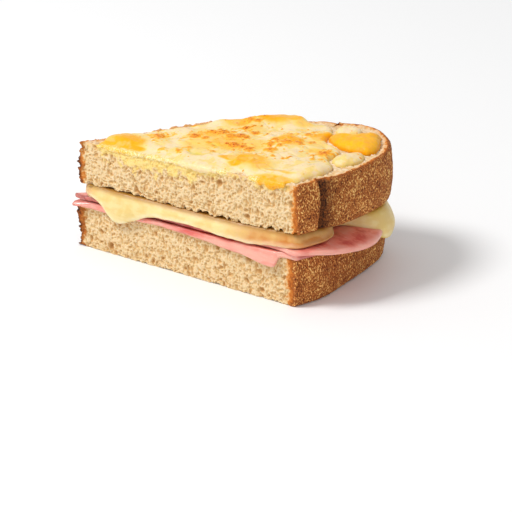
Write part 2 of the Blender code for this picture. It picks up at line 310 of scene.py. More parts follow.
class Finish:
    # a Principled material and the nodes behind it
    def __init__(self, name, fixed):
        self.material = bpy.data.materials.new(name)
        self.material.use_nodes = True
        self.tree = self.material.node_tree
        self.shader = self.tree.nodes["Principled BSDF"]
        for socket, value in fixed.items():
            self.shader.inputs[socket].default_value = value

    def node(self, kind, settings=None, sockets=None, out=0):
        made = self.tree.nodes.new(kind)
        for setting, value in (settings or {}).items():
            if setting == "stops":
                stops = made.color_ramp.elements
                while len(stops) < len(value):
                    stops.new(0.5)
                for stop, (position, colour) in zip(stops, value):
                    stop.position, stop.color = position, colour
            else:
                setattr(made, setting, value)
        for socket, value in (sockets or {}).items():
            if isinstance(value, Wire):
                self.tree.links.new(value.socket, made.inputs[socket])
            else:
                made.inputs[socket].default_value = value
        return Wire(self, made.outputs[out])

    def layer(self, name):
        return self.node("ShaderNodeAttribute", {"attribute_name": name}, out="Fac")

    def noise(self, size, detail, rough=0.55, stretch=(1, 1, 1)):
        # cloudy values round 0.5, with features of the given size in mm
        spot = self.node("ShaderNodeTexCoord", out="Object")
        place = self.node("ShaderNodeVectorMath", {"operation": "MULTIPLY"}, {0: spot, 1: stretch})
        return self.node("ShaderNodeTexNoise", {}, {
            "Vector": place, "Scale": 1 / (size * mm), "Detail": detail, "Roughness": rough}, "Fac")

    def mix(self, factor, first, second):
        return self.node("ShaderNodeMix", {"data_type": "RGBA"}, {0: factor, 6: first, 7: second}, 2)

    def ramp(self, factor, stops):
        return self.node("ShaderNodeValToRGB", {"stops": stops}, {"Fac": factor}, "Color")

    def feed(self, socket, value):
        self.tree.links.new(value.socket, self.shader.inputs[socket])

    def relief(self, height, depth, strength):
        # height is 0 to 1 and depth is in mm
        self.feed("Normal", self.node("ShaderNodeBump", {}, {
            "Height": height, "Distance": depth * mm, "Strength": strength}, "Normal"))


bread = dict(
    lowerCrust=[(96, 0), (99.2, 10), (98.9, 25), (97.5, 42), (94.5, 56), (87, 63), (76, 63.8),
                (62, 60), (45, 50.4), (30, 38), (18, 20.5), (8.4, 8.5), (0, 0)],
    upperCrust=[(97.2, 0), (100.6, 8), (104, 17), (105.2, 30), (104.2, 43), (98.4, 54), (89, 62.2),
                (80.5, 64.4), (72.5, 62.6), (62, 60), (54, 56.8), (45, 50.4), (30, 38), (18, 20.5),
                (8.4, 8.5), (0.8, 0)],
    folds=[((100.1, 6.9), 1.9, 3.4), ((72, 62.5), 1.6, 2.6)],   # place, depth, how slowly it fills
    crustBulge=0.9,
    crustLip=0.5,                  # how much higher the bare rim stands
    bareFrom=66.0,                 # the rim is bare at the broad end, from this far along the cut
    backRim=(12, 20, 36, 46),      # the rim rises roughly at the back between these places
    edgeRound=1.1,
    cutRound=0.35,
    footInset=2.0,
    brokenFrom=(14, 3),            # towards the pointed end the crust breaks up between these places
    crust=[(0, 1.6), (50, 1.3), (95, 2.6)],    # the crust's thickness at places along the cut
    lowerCrustShare=1.25,          # the lower slice's crust is thicker
    faceCrustShare=0.62,           # and seen from above it is thinner
    # bubbles at the cut: grid, radius, share of the grid with one, depth, height to width
    bubbles=[(6.0, 1.45, 0.25, 1.05, 1.0), (2.3, 0.85, 0.5, 0.75, 1.2), (1.15, 0.62, 0.9, 0.5, 1.1)],
    faceBubbles=[(1.9, 1.0, 0.7, 0.7), (1.1, 0.65, 0.9, 0.5)],
    # how far the melted fat has soaked down the cut face, at places along it
    soaked=[(4, 0), (9, 1.6), (12, 3.8), (16, 2.4), (20, 4.4), (24, 6.2), (30, 4.8), (36, 5.4), (42, 4.4),
            (49, 6.0), (56, 4.6), (62, 2.2), (66, 0.8), (76, 0.4), (80, 2.4), (86, 2.8), (91, 1.4), (95, 0)],
    cutPoints=420,
    crustPoints=380,
    footRows=(0.75, 0.3, 0.125),   # the underside's rows, as shares of the way in
    wallRows=68,
    faceRows=(0.35, 0.7, 1.05, 1.4, 1.8, 2.2, 2.6, 3.0, 3.5, 4.0, 4.6, 5.2, 6.0, 7.0, 8.2, 9.6),   # mm in
    innerRows=(0.3, 0.5, 0.7, 0.88),           # and then as shares of what is left
    # from the walls between the bubbles to the bottoms of the bubbles, with painted shade making the deeper
    # bubbles darker
    crumbToPoreShadeTones=[(0.0, paint(247, 232, 202)), (0.14, paint(232, 204, 159)), (0.34, paint(223, 188, 134)),
                (0.62, paint(205, 159, 102)), (1.0, paint(166, 114, 60))],
    # the soaked crumb's yellow, likewise darkened by painted shade in the bubbles
    soakedToPoreShadeTones=[(0.0, paint(242, 216, 146)), (0.35, paint(240, 206, 118)), (1.0, paint(212, 168, 74))],
    toasted=paint(212, 148, 84),
    fleckTones=[(0.3, paint(86, 38, 14)), (0.42, paint(152, 84, 38)), (0.55, paint(184, 108, 52)),
                (0.62, paint(216, 146, 72)), (0.7, paint(255, 214, 134))],
    # near black to dark brown: painted shade behind the crust's folds, and the darker crust at the pointed
    # end
    creaseShadeAndScorchTones=[(0.35, paint(40, 18, 8)), (0.7, paint(124, 68, 28))],
    # through the crust's own thickness, from outside to inside
    rindTones=[(0.1, paint(128, 66, 24)), (0.3, paint(186, 102, 36)), (0.55, paint(214, 138, 62)),
               (0.8, paint(232, 178, 108))],
)


def breadFinish():
    look = Finish("bakedBread", {"Specular IOR Level": 0.25, "Subsurface Weight": 0.1,
                                 "Subsurface Scale": 0.0012, "Subsurface Radius": (1.0, 0.6, 0.35)})
    hole, inside, soaked, toast, crease = (
        look.layer(name) for name in ("hole", "inside", "soaked", "toast", "crease"))
    grain = look.noise(0.5, 2, 0.5)
    patch = look.noise(1.5, 3, 0.6)
    # crumb: pale walls, with painted shade turning the bubbles golden and brown the deeper they go, yellow
    # where fat has soaked in, browner at the rim
    depth = (0.14 + 0.86 * hole + 0.4 * (grain - 0.5)).held()
    crumb = look.mix(soaked, look.ramp(depth, bread["crumbToPoreShadeTones"]), look.ramp(depth, bread["soakedToPoreShadeTones"]))
    crumb = look.mix((toast * (0.35 + 1.1 * patch)).held(), crumb, bread["toasted"])
    # crust: brown, covered in fine golden and dark flecks drawn out upwards
    fleck = look.noise(0.42, 1, 0.5, (1, 1, 0.6))
    blotch = look.noise(4.5, 3)
    brown = look.ramp(fleck + 0.35 * (blotch - 0.5), bread["fleckTones"])
    # painted shade: behind each fold the crust is coloured near black, standing in for the shadow of the lobe
    # in front; the darker pointed end shares this dark
    dark = look.ramp(fleck, bread["creaseShadeAndScorchTones"])
    brown = look.mix((2.4 * crease).held(), brown, dark)
    # the crust's own thickness shows at the cut and on the rim, golden inside and darker outside
    edge = inside + 0.9 * (patch - 0.5) + 0.25 * (grain - 0.5)
    rind = look.ramp(edge, bread["rindTones"])
    # the painted shade behind the folds also darkens the crust's own thickness at the cut
    skin = look.mix(edge.eased(0.04, 0.2), brown, look.mix(0.6 * crease, rind, dark))
    look.feed("Base Color", look.mix(edge.eased(0.5, 0.9), skin, crumb))
    look.feed("Roughness", 0.9 - 0.35 * soaked)
    look.relief(0.6 * grain + 0.5 * fleck, 0.35, 0.9)
    return look.material


def sliceRows(reach, low, high, rounding, foot):
    # rows from the underside's middle out, up the wall and back over the top: how far in from the
    # outline, the height where it is fixed, and the share of the wall's relief, -1 on the top
    rows = [(foot + share * (reach - foot), None, 0) for share in bread["footRows"]]
    quarter = np.linspace(0, math.pi / 2, 5)
    rows += [(foot * (1 - math.sin(turn)), low + rounding * (1 - math.cos(turn)), math.sin(turn))
             for turn in quarter[:-1]]
    rows += [(0 * reach, low + rounding + share * (high - low - 2 * rounding), 1)
             for share in np.linspace(0, 1, bread["wallRows"])]
    rows += [(rounding * (1 - math.cos(turn)), high - rounding * (1 - math.sin(turn)), math.cos(turn))
             for turn in quarter[1:]]
    rows += [(rounding + further, None, -1) for further in bread["faceRows"]]
    last = rounding + bread["faceRows"][-1]
    return rows + [(last + share * (reach - last), None, -1) for share in bread["innerRows"]]


def soakedCrumb(x, z, fromTop, seed):
    depth = readOff(bread["soaked"], x)
    depth = depth * (1 + 0.9 * layered(x, z, 0, 2.2, seed + 95, 3)) + 0.8 * cloudy(x, z, 0, 1.1, seed + 98)
    return eased(depth - fromTop, -1.6, 1.2) * eased(depth, 0.3, 0.9)


def cutBubbles(x, y, z, seed):
    # bubbles of three sizes crowd the cut face, with pores between them
    warpX = x + 0.55 * cloudy(x, y, z, 2.4, seed + 11) + 0.2 * cloudy(x, y, z, 0.9, seed + 13)
    warpZ = z + 0.55 * cloudy(x, y, z, 2.4, seed + 12) + 0.2 * cloudy(x, y, z, 0.9, seed + 14)
    hole = np.zeros_like(x)
    for number, (grid, radius, share, deep, tall) in enumerate(bread["bubbles"]):
        found = pits(warpX, warpZ, grid, radius, share, seed + 20 + 5 * number, tall)
        hole = np.maximum(hole, deep * found)
    return hole + 0.12 * pits(warpX, warpZ, 0.75, 0.5, 0.9, seed + 40)


def faceBubbles(x, y, seed):
    hole = np.zeros_like(x)
    for number, (grid, radius, share, deep) in enumerate(bread["faceBubbles"]):
        hole = np.maximum(hole, deep * pits(x, y, grid, radius, share, seed + 50 + 6 * number))
    return hole


def crustRelief(ring, place, x, y, z, share, seed):
    # the crust bulges, is wrinkled lengthways and breaks up towards the pointed end
    wrinkle = layered(place, 0 * place, z / 3.5, 1.5, seed + 70, 3)
    broken = 1.3 * layered(x, y, z, 4.0, seed + 73, 3) + 0.8 * layered(x, y, z, 1.5, seed + 74, 2) - 0.4
    return (bread["crustBulge"] * np.sin(math.pi * share) + 0.35 * layered(x, y, z / 2, 8.0, seed + 71, 2)
            + 0.16 * wrinkle + 0.18 * layered(x, y, z, 0.9, seed + 72, 2)
            + eased(ring[:, 0], *bread["brokenFrom"]) * broken)


def brokenPoint(place, x, z, seed):
    # at the very point bits of the thin crust are missing
    broken = layered(x, 0, z, 2.4, seed + 76, 2) + 0.7 * layered(x, 0, z, 0.9, seed + 77, 2)
    return bump(np.minimum(place, place[-1] - place), 3.0) * (1.3 * broken - 0.2)


def rimLift(ring, x, y, inward, seed):
    # the rim of crust stands up where no cheese covers it, evenly at the broad end, roughly behind
    bare = bump(inward, 2.4) * eased(ring[:, 0], bread["bareFrom"] - 4, bread["bareFrom"])
    start, full, fades, end = bread["backRim"]
    behind = 2.2 * bump(inward, 1.2) * eased(ring[:, 0], end, fades) * eased(ring[:, 0], start, full)
    return bread["crustLip"] * (bare + behind * (1 + 0.7 * layered(x, y, 0, 1.3, seed + 96, 2)))


def breadSlice(name, node, crust, folds, bottom, top, finish, seed, grilled):
    cutPoints = bread["cutPoints"]
    ring, crease = sliceOutline(crust, cutPoints, bread["crustPoints"], folds)
    normal = outward(ring)
    place = distanceAlong(ring)
    fromCorner = np.minimum(np.minimum(place, np.abs(place - place[cutPoints])), place[-1] - place)
    onCut = np.arange(len(ring)) <= cutPoints
    cutness = 0.5 + np.where(onCut, 0.5, -0.5) * eased(fromCorner, 0, 0.9)
    reach = np.linalg.norm(ring - toastie["middle"], axis=1)
    rounding = bread["edgeRound"] + (bread["cutRound"] - bread["edgeRound"]) * cutness
    foot = rounding if grilled else bread["footInset"] * (1 - cutness) + bread["cutRound"] * cutness
    low, high = bottom(*ring.T), top(*ring.T)

    plainRows = sliceRows(reach, low, high, rounding, foot)
    inset = np.array([inwards for inwards, _, _ in plainRows])
    wallShare = np.array([share for _, _, share in plainRows])[:, None]
    isTop, wall = wallShare < 0, np.clip(wallShare, 0, 1)
    plan = ring + (toastie["middle"] - ring) / reach[:, None] * inset[:, :, None]
    x, y = plan[..., 0], plan[..., 1]
    free = np.where(isTop, top(x, y), bottom(x, y))
    z = np.array([free[row] if given is None else given for row, (_, given, _) in enumerate(plainRows)])
    fromBottom, fromTop = z - low, high - z

    # how far through the crust, from 0 outside to 1 in the crumb, with a ragged edge
    fromCrust = distanceTo(np.vstack([ring[cutPoints::2], ring[:1]]), plan)
    crustThick = readOff(bread["crust"], x) * (1.0 if grilled else bread["lowerCrustShare"])
    crustThick = np.where(isTop, bread["faceCrustShare"] * crustThick, crustThick)
    inside = 0.62 * fromCrust / crustThick * (1 + 0.25 * cloudy(x, y, z, 2.5, seed + 5))
    ragged = np.where(isTop, 0.7, 0.3) * layered(x, y, z, 1.1, seed + 6, 2)
    inside = np.clip(inside + ragged * bump(fromCrust - crustThick, 2.4), 0, 1)

    soaked = soakedCrumb(x, z, fromTop, seed) * cutness * wall if grilled else 0 * x
    hole = cutBubbles(x, y, z, seed) * (1 - 0.3 * soaked) * cutness * eased(inside, 0.45, 0.95) * wall
    topHole = faceBubbles(x, y, seed)
    crumbOut = (0.35 + 0.2 * layered(x, y, z, 7.0, seed + 61, 2) + 0.14 * layered(x, y, z, 1.3, seed + 60, 2)
                - hole + 0.15 * soaked)
    crustOut = crustRelief(ring, place, x, y, z, np.clip(fromBottom / (high - low), 0, 1), seed)
    out = wall * (cutness * crumbOut + (1 - cutness) * crustOut)
    plan = plan + normal * out[..., None]
    plan[..., 0] -= wall * brokenPoint(place, x, z, seed)

    # ragged edges where the knife tore the crumb
    torn = np.clip(2.4 * layered(x, 0, 0, 1.6, seed + 80, 3) + 0.45, 0, 1.7) * cutness
    torn = torn * (1.0 if grilled else 0.4)
    z = z + torn * (~isTop) * np.exp(-fromBottom / 0.9) * np.exp(-inset / 3.0)
    if grilled:
        atRim = (isTop | (fromTop < rounding)) * (1 - cutness)
        z = z + atRim * rimLift(ring, x, y, inset - rounding, seed)
    else:
        z = z - 0.6 * wall * torn * np.exp(-fromTop / 0.9)
    topRough = (0.16 * layered(x, y, 0, 1.1, seed + 90, 2) + 0.1) * (inset > 0)
    topRough = topRough + 0.8 * layered(x, y, 0, 0.9, seed + 93, 2) * np.exp(-fromCrust / 2.2) * (1 - cutness)
    z = z + isTop * (topRough - topHole * eased(inside, 0.4, 0.9))

    toast = np.where(isTop, 0.04 + 1.1 * np.exp(-(fromCrust / 2.2)**2), 0)
    if grilled:
        toast = np.maximum(toast, 0.35 * np.exp(-np.abs(fromTop) / 0.7))
    # painted shade: bubbles on the cut and on the top are coloured darker the deeper they are
    poreShade = np.where(isTop, 0.6 * topHole - 0.14, hole / 1.05)
    # the thin crust is darkest at the pointed end
    scorch = np.clip(eased(x, 17, 0)**2 * (0.8 + 1.4 * layered(x, y, z, 2.6, seed + 75, 3)), 0, 0.7)
    # the crease layer carries the painted shade behind the folds and the real darker crust at the pointed end
    addPiece(name, node, "bread", np.concatenate([plan, z[..., None]], axis=2), finish,
             hole=np.clip(poreShade, -0.14, 1), inside=inside, soaked=soaked, toast=toast,
             crease=np.maximum(crease * (1 - cutness), scorch) * (~isTop))


breadLook = breadFinish()
breadSlice("lowerBread", "bread_lower", bread["lowerCrust"], (), floorHeight, lowerTop, breadLook,
           seed=100, grilled=False)
breadSlice("upperBread", "bread_upper", bread["upperCrust"], bread["folds"], upperBottom, upperTop, breadLook,
           seed=300, grilled=True)


fillingRing = sliceOutline(bread["lowerCrust"], *toastie["fillingPoints"])[0]
fillingPlace = distanceAlong(fillingRing)
fromPoint = np.minimum(fillingPlace, fillingPlace[-1] - fillingPlace)


def roundTheRing(table, rounds):
    # numbers given at places round the filling's outline, evened out into smooth runs
    places, *columns = np.array(table, float).T
    return [evenedOut(np.interp(fillingPlace, places, column), rounds) for column in columns]


def profiled(ring, normal, inner, outer, upper, perSpan):
    # rows through knots given as how far out and how high, between two flat inner parts
    def towards(point, share):
        row = point.copy()
        row[:, :2] = toastie["middle"] + (row[:, :2] - toastie["middle"]) * share
        return row

    knots = [np.c_[ring + normal * out[:, None], high] for out, high in outer]
    below = [towards(knots[0], share) for share in inner]
    above = [towards(knots[-1], share) for share in upper]
    return np.concatenate([below, smoothThrough(knots, perSpan), above])


ham = dict(
    # the lower ham at places round the outline: how far out, how high its lower edge hangs
    strip=[(0, 2.2, 16.6), (4, 1.5, 16.2), (14, 1.6, 15.9), (27, 1.6, 16.2), (38, 1.6, 16.8), (49, 1.6, 16.4),
           (57, 1.7, 16.2), (66, 1.8, 15.4), (73, 2.0, 15.2), (79, 2.2, 14.4), (84.5, 2.4, 13.7),
           (88.2, 2.4, 13.9), (89.2, 1.3, 17.6), (92, 1.0, 18.0), (97, 1.2, 18.0), (110, 1.0, 18.0),
           (130, 0.8, 17.8), (160, 0.4, 17.4), (215, 0.4, 16.6), (235, 1.0, 16.0)],
    lobes=[(160, 9, 1.4), (121, 36, 11.4)],    # the upper ham's: place, half width, how far out
    tipReach=6.5,                  # the pointed end's tips start this far from the point
    lowerTip=(-0.1, -1.0, 3.4),    # which way the pointed end hangs out, and how far
    upperTip=(-0.9, 0.2, 2.1),
    ripple=0.12,
    fleshTones=[(0.34, paint(212, 86, 80)), (0.5, paint(238, 134, 118)), (0.66, paint(240, 160, 146))],
    pale=paint(243, 174, 154),
    dark=paint(140, 40, 38),
    fat=paint(250, 214, 196),
)


def hamFinish():
    look = Finish("cookedHam", {"Subsurface Weight": 0.3, "Subsurface Scale": 0.0025,
                                "Subsurface Radius": (1.0, 0.35, 0.25), "Coat Roughness": 0.18})
    rim, shaded = look.layer("rim"), look.layer("shaded")
    mottle = look.noise(7.0, 3, 0.5)
    streak = look.noise(1.6, 3, 0.6, (0.12, 0.4, 1))
    grain = look.noise(0.8, 2, 0.5, (0.4, 1, 1))
    flesh = look.ramp(mottle + 0.7 * (streak - 0.5) + 0.15 * (grain - 0.5), ham["fleshTones"])
    flesh = look.mix((rim * (0.3 + 1.0 * streak)).held(), flesh, ham["pale"])
    flesh = look.mix((shaded * (0.6 + 0.7 * mottle)).held(), flesh, ham["dark"])
    look.feed("Base Color", look.mix(0.2 * grain.eased(0.6, 0.75), flesh, ham["fat"]))
    look.feed("Roughness", 0.28 + 0.2 * grain)
    look.feed("Coat Weight", 0.25 + 0.3 * mottle)
    look.relief(0.6 * grain + mottle, 0.12, 0.6)
    return look.material


def tipped(out, tip):
    # turns the outline's pointed end into a longer pointed tip
    share = np.clip(1 - fromPoint / ham["tipReach"], 0, 1)
    normal = outward(fillingRing, 12)
    normal = normal + (np.array(tip[:2]) - normal) * eased(share, 0, 0.5)[:, None]
    return out * (1 - share) + tip[2] * share, normal / np.linalg.norm(normal, axis=1, keepdims=True)


def lowerHam(finish):
    # a thin strip along the cut, with one flap that hangs there and ends squarely
    out, lowEdge = roundTheRing(ham["strip"], 2)
    out, normal = tipped(out, ham["lowerTip"])
    bed = fillingBed(*fillingRing.T) + toastie["gap"]
    lowEdge = np.where(fromPoint < 3, bed + 0.2, lowEdge)
    lowEdge = np.minimum(lowEdge + 0.12 * layered(fillingPlace, 0, 0, 5.0, 401, 2), bed + 0.1)
    top = bed + toastie["hamThickness"]
    none = 0 * out
    hang = np.clip((bed - lowEdge) / 2.0, 0, 1)
    outer = [(none - 1.5, bed), (none + 0.3, bed), (0.55 + 0.35 * (out - 0.8), bed - 0.45 * hang),
             (out - 1.0 + 0.3 * (1 - hang), lowEdge + 0.25), (out - 0.3, lowEdge),
             (out + 0.05, lowEdge + 0.75), (out - 0.25 * hang, 0.45 * lowEdge + 0.55 * top),
             (0.62 * out, top - 0.25 * hang), (none - 0.4, top), (none - 2.5, top)]
    rows = profiled(fillingRing, normal, (0.3, 0.6, 0.85), outer, (0.9, 0.7, 0.4), 6)
    rows = softened(rows, ham["ripple"] * layered(*np.moveaxis(rows, 2, 0), 5.0, 402, 2))
    y, z = rows[..., 1], rows[..., 2]
    hung = np.clip((bed + 1.9 - z) / 1.4, 0, 1) * eased(y, 0.5, -1.0)
    rim = np.where(fillingPlace < 110, 0.35 + 0.55 * eased(fillingPlace, 52, 60), 0.2) * hung
    shaded = 0.55 * eased(y, -0.6, 0.4) + 0.5 * eased(z - bed, 1.1, 1.7) * eased(fillingPlace, 70, 40)
    addPiece("lowerHam", "ham_lower", "ham", rows, finish, rim=rim, shaded=shaded)


def upperHam(finish):
    # sticks out past the broad end as a rounded lobe
    lobe = 0.4 + sum(height * bump(fillingPlace - at, halfWidth) for at, halfWidth, height in ham["lobes"])
    out, normal = tipped(lobe, ham["upperTip"])
    thick = toastie["hamThickness"]

    def resting(outwards, up):
        plan = fillingRing + normal * outwards[:, None]
        return outwards, fillingBed(*plan.T) + 2 * toastie["gap"] + thick + up

    outer = [resting(out * share - 2.0 * (1 - share), 0.0) for share in (0, 0.2, 0.4, 0.6, 0.8)]
    outer += [resting(out + past, up) for past, up in ((-0.25, 0.03), (0, 0.35), (0.1, 0.8), (-0.15, 1.4))]
    outer += [resting(out * share - 2.0 * (1 - share), thick) for share in (0.93, 0.8, 0.6, 0.4, 0.2, 0)]
    rows = profiled(fillingRing, normal, (0.3, 0.6, 0.9), outer, (0.9, 0.6, 0.3), 3)
    rows = softened(rows, 1.4 * ham["ripple"] * layered(*np.moveaxis(rows, 2, 0), 6.0, 405, 2))
    reach = distanceTo(np.vstack([fillingRing, fillingRing[:1]]), rows[..., :2])
    onLobe = eased(out, 2, 6)
    rim = onLobe * np.exp(-np.clip(out - reach, 0, None) / 0.9)
    rim = rim + 0.5 * (1 - onLobe) * eased(fillingPlace, 60, 80)
    shaded = onLobe * 0.2 * np.exp(-reach / 2.6) + (1 - onLobe) * 0.5 * eased(fillingPlace, 62, 48)
    addPiece("upperHam", "ham_upper", "ham", rows, finish, rim=rim, shaded=np.clip(shaded, 0, 1))


hamLook = hamFinish()
lowerHam(hamLook)
upperHam(hamLook)


meltedCheese = dict(
    # places round the outline: how far out the back of the lip, its tip and its front stand,
    # the tip's height, how far out the face stands, its height, and where it meets the bread above
    edge=[(0, -4.6, -3.2, -2.4, 20.5, -2.6, 22.8, -2.6), (3.6, -2.2, -0.8, 0.0, 20.4, -0.3, 22.9, -0.7),
          (9, 0.4, 1.5, 2.2, 20.2, 1.5, 22.5, -0.1), (12.0, 1.3, 2.0, 2.6, 19.2, 2.1, 21.8, -0.4),
          (14.4, 1.5, 2.1, 2.7, 16.4, 2.5, 20.0, -0.3), (17.6, 1.5, 2.2, 2.9, 14.2, 2.9, 18.6, -0.2),
          (21.2, 1.5, 2.2, 2.9, 13.9, 2.9, 18.5, -0.2), (24.3, 1.5, 2.1, 2.8, 15.4, 2.7, 19.3, -0.2),
          (28, 1.4, 2.0, 2.7, 16.8, 2.5, 20.5, -0.2), (32.2, 1.2, 1.9, 2.6, 18.8, 2.2, 21.6, -0.2),
          (36, 1.0, 1.7, 2.4, 19.9, 2.0, 22.2, -0.2), (52, 0.9, 1.6, 2.3, 20.4, 1.8, 22.8, -0.2),
          (60, 0.9, 1.6, 2.3, 20.1, 1.8, 22.8, -0.2), (66, 0.9, 1.7, 2.4, 19.6, 1.9, 22.6, -0.2),
          (78, 0.9, 1.6, 2.3, 19.9, 1.6, 22.8, -0.3), (85, 0.8, 1.3, 1.9, 20.9, 1.0, 23.4, -0.5),
          (94, 0.7, 1.1, 1.6, 21.9, 0.6, 24.0, -0.8), (102, 0.8, 1.4, 2.1, 22.5, 1.0, 24.2, -0.8),
          (107, 1.6, 2.4, 3.2, 22.9, 2.0, 24.3, -0.2), (111, 1.0, 1.8, 2.6, 23.2, 1.4, 24.3, -0.6),
          (114.5, -1.8, -1.0, -0.4, 23.0, -0.8, 24.4, -2.0), (120, -5.6, -4.6, -4.0, 22.2, -4.4, 24.4, -4.8),
          (124.5, -3.4, -2.0, -1.2, 22.2, -1.8, 24.4, -2.6), (127.5, 3.6, 5.0, 6.2, 20.8, 6.0, 23.4, 2.6),
          (131, 8.6, 9.8, 10.7, 16.6, 10.6, 20.6, 6.4), (135.5, 8.9, 10.0, 11.0, 16.2, 11.0, 20.6, 7.0),
          (140, 7.4, 8.6, 9.7, 17.2, 10.0, 21.2, 6.0), (144.5, 3.6, 5.0, 6.2, 19.6, 6.4, 22.4, 3.4),
          (148, 0.6, 1.8, 2.8, 21.2, 2.6, 23.2, 0.8), (152, -1.4, -0.4, 0.2, 21.8, 0.0, 23.6, -0.8),
          (165, -1.8, -1.0, -0.4, 21.6, -0.6, 23.4, -1.4), (210, -1.8, -1.0, -0.4, 20.4, -0.6, 22.4, -1.4),
          (232, -4.6, -3.2, -2.4, 20.4, -3.0, 22.4, -3.4)],
    cream=paint(230, 198, 124),
    creamier=paint(237, 211, 147),
    shade=paint(168, 116, 36),
    golden=paint(202, 124, 32),
    # a near-white painted highlight for the lip's rounded lower edge
    lipHighlight=paint(252, 236, 200),
    # olive-yellow: painted shade along the flap under the bread, and oil along the flap's lower rim
    oily=paint(222, 186, 70),
)


def cheeseFinish():
    look = Finish("meltedSlice", {"Subsurface Weight": 0.35, "Subsurface Scale": 0.003,
                                  "Subsurface Radius": (1.0, 0.7, 0.35), "Coat Roughness": 0.15})
    lip, shaded, oily, golden = (look.layer(name) for name in ("lip", "shaded", "oily", "golden"))
    cloud = look.noise(5.0, 3, 0.5)
    streak = look.noise(1.8, 3, 0.6, (0.3, 0.3, 1))
    fine = look.noise(0.9, 3)
    clouded = (cloud + 0.6 * (streak - 0.5)).eased(0.38, 0.64)
    body = look.mix(clouded, meltedCheese["cream"], meltedCheese["creamier"])
    body = look.mix((golden * (1.6 * cloud + 0.8 * streak - 0.45)).held(), body, meltedCheese["golden"])
    body = look.mix((shaded * (0.7 + 0.6 * streak)).held(), body, meltedCheese["shade"])
    # painted highlight: the lip's lower edge turns near white where light would catch it; its real gloss is
    # the coat below
    body = look.mix((lip * (1.7 * streak - 0.25)).held(), body, meltedCheese["lipHighlight"])
    # on the flap: painted shade near the bread above, and an oily yellow rim at its bottom
    body = look.mix((oily * (0.6 + 0.8 * cloud)).held(), body, meltedCheese["oily"])
    look.feed("Base Color", body)
    look.feed("Roughness", 0.3 + 0.2 * fine)
    look.feed("Coat Weight", (0.1 + 0.7 * lip * streak.eased(0.45, 0.6)).held())
    look.relief(fine + 1.5 * streak, 0.16, 0.6)
    return look.material


def meltedSlice(finish):
    # has run over the ham, with a drip near the pointed end and a flap over the ham's lobe
    back, lipBack, lipOut, lipHigh, faceOut, faceHigh, topOut = roundTheRing(meltedCheese["edge"], 10)
    ring = evenedOut(fillingRing, 24)
    normal = outward(ring, 10)
    ripple = layered(fillingPlace, 0, 0, 6.0, 411, 2)
    lipOut, faceOut = lipOut + 0.25 * ripple, faceOut + 0.2 * ripple
    lipHigh = lipHigh + 0.2 * layered(fillingPlace, 0, 0, 4.0, 412, 2)

    def onBed(out):
        plan = ring + normal * out[:, None]
        return out, fillingBed(*plan.T, 0.8) + 3 * toastie["gap"] + 2 * toastie["hamThickness"]

    def underRoof(out, down):
        return out, upperBottom(*(ring + normal * out[:, None]).T) - down

    flap = eased(topOut, 0, 6)
    bed = onBed(back)[1]
    roof = underRoof(topOut, 0.15 + 0.8 * flap)[1]
    # the wall's inner rows close up where the slice narrows to its point
    wide = 0.1 + 0.9 * eased(fromPoint, 0, 18)
    outer = [onBed(back - 3 * wide), onBed(back - 0.8 * wide),
             (back, np.minimum(bed, 0.5 * (bed + lipHigh) + 0.6)),
             (0.5 * (back + lipBack), 0.35 * bed + 0.65 * lipHigh), (lipBack, lipHigh),
             (lipOut, lipHigh + 0.7), (faceOut, faceHigh),
             (0.6 * topOut + 0.4 * faceOut, roof - 0.9 - 0.5 * flap), (topOut, roof),
             underRoof(topOut - 1.2 * wide, 0.1 + 0.4 * flap),
             underRoof(topOut - 3.5 * wide, 0.1 + 0.1 * flap), underRoof(topOut - 5.5 * wide, 0.1)]
    rows = profiled(ring, normal, (0.3, 0.6, 0.9), outer, (0.9, 0.6, 0.3), 5)
    rows = softened(rows, 0.14 * layered(*np.moveaxis(rows, 2, 0), 5.0, 410, 2))
    x, y, z = np.moveaxis(rows, 2, 0)
    place, fromRoof, fromLip = fillingPlace, upperBottom(x, y) - z, z - lipHigh
    # where the lip's painted highlight lies
    lip = eased(fromLip, 2.4, 0.6) * (0.6 + 0.4 * flap) * (1 - 0.6 * eased(place, 88, 100))
    shaded = eased(fromRoof, 2.4, 0.1)**1.5 * (1 - 0.8 * flap) * (1 - 0.6 * bump(place, 13))
    golden = 0.85 * eased(place, 62, 84) * eased(place, 118, 106) + 0.9 * bump(place, 12)
    golden = golden + 1.1 * eased(fromLip, 3.0, 1.0) * eased(place, 80, 93) * eased(place, 110, 101)
    # the flap's olive-yellow: painted shade under the bread, and oil along its lower rim
    oily = flap * (0.9 * eased(fromRoof, 3.0, 0.0) + 0.8 * eased(fromLip, 1.0, 0.0))
    addPiece("cheeseSlice", "cheese_slice", "cheese", rows, finish, lip=np.clip(lip, 0, 1),
             shaded=np.clip(shaded, 0, 1), golden=golden * (1 - flap), oily=np.clip(oily, 0, 1))


meltedSlice(cheeseFinish())


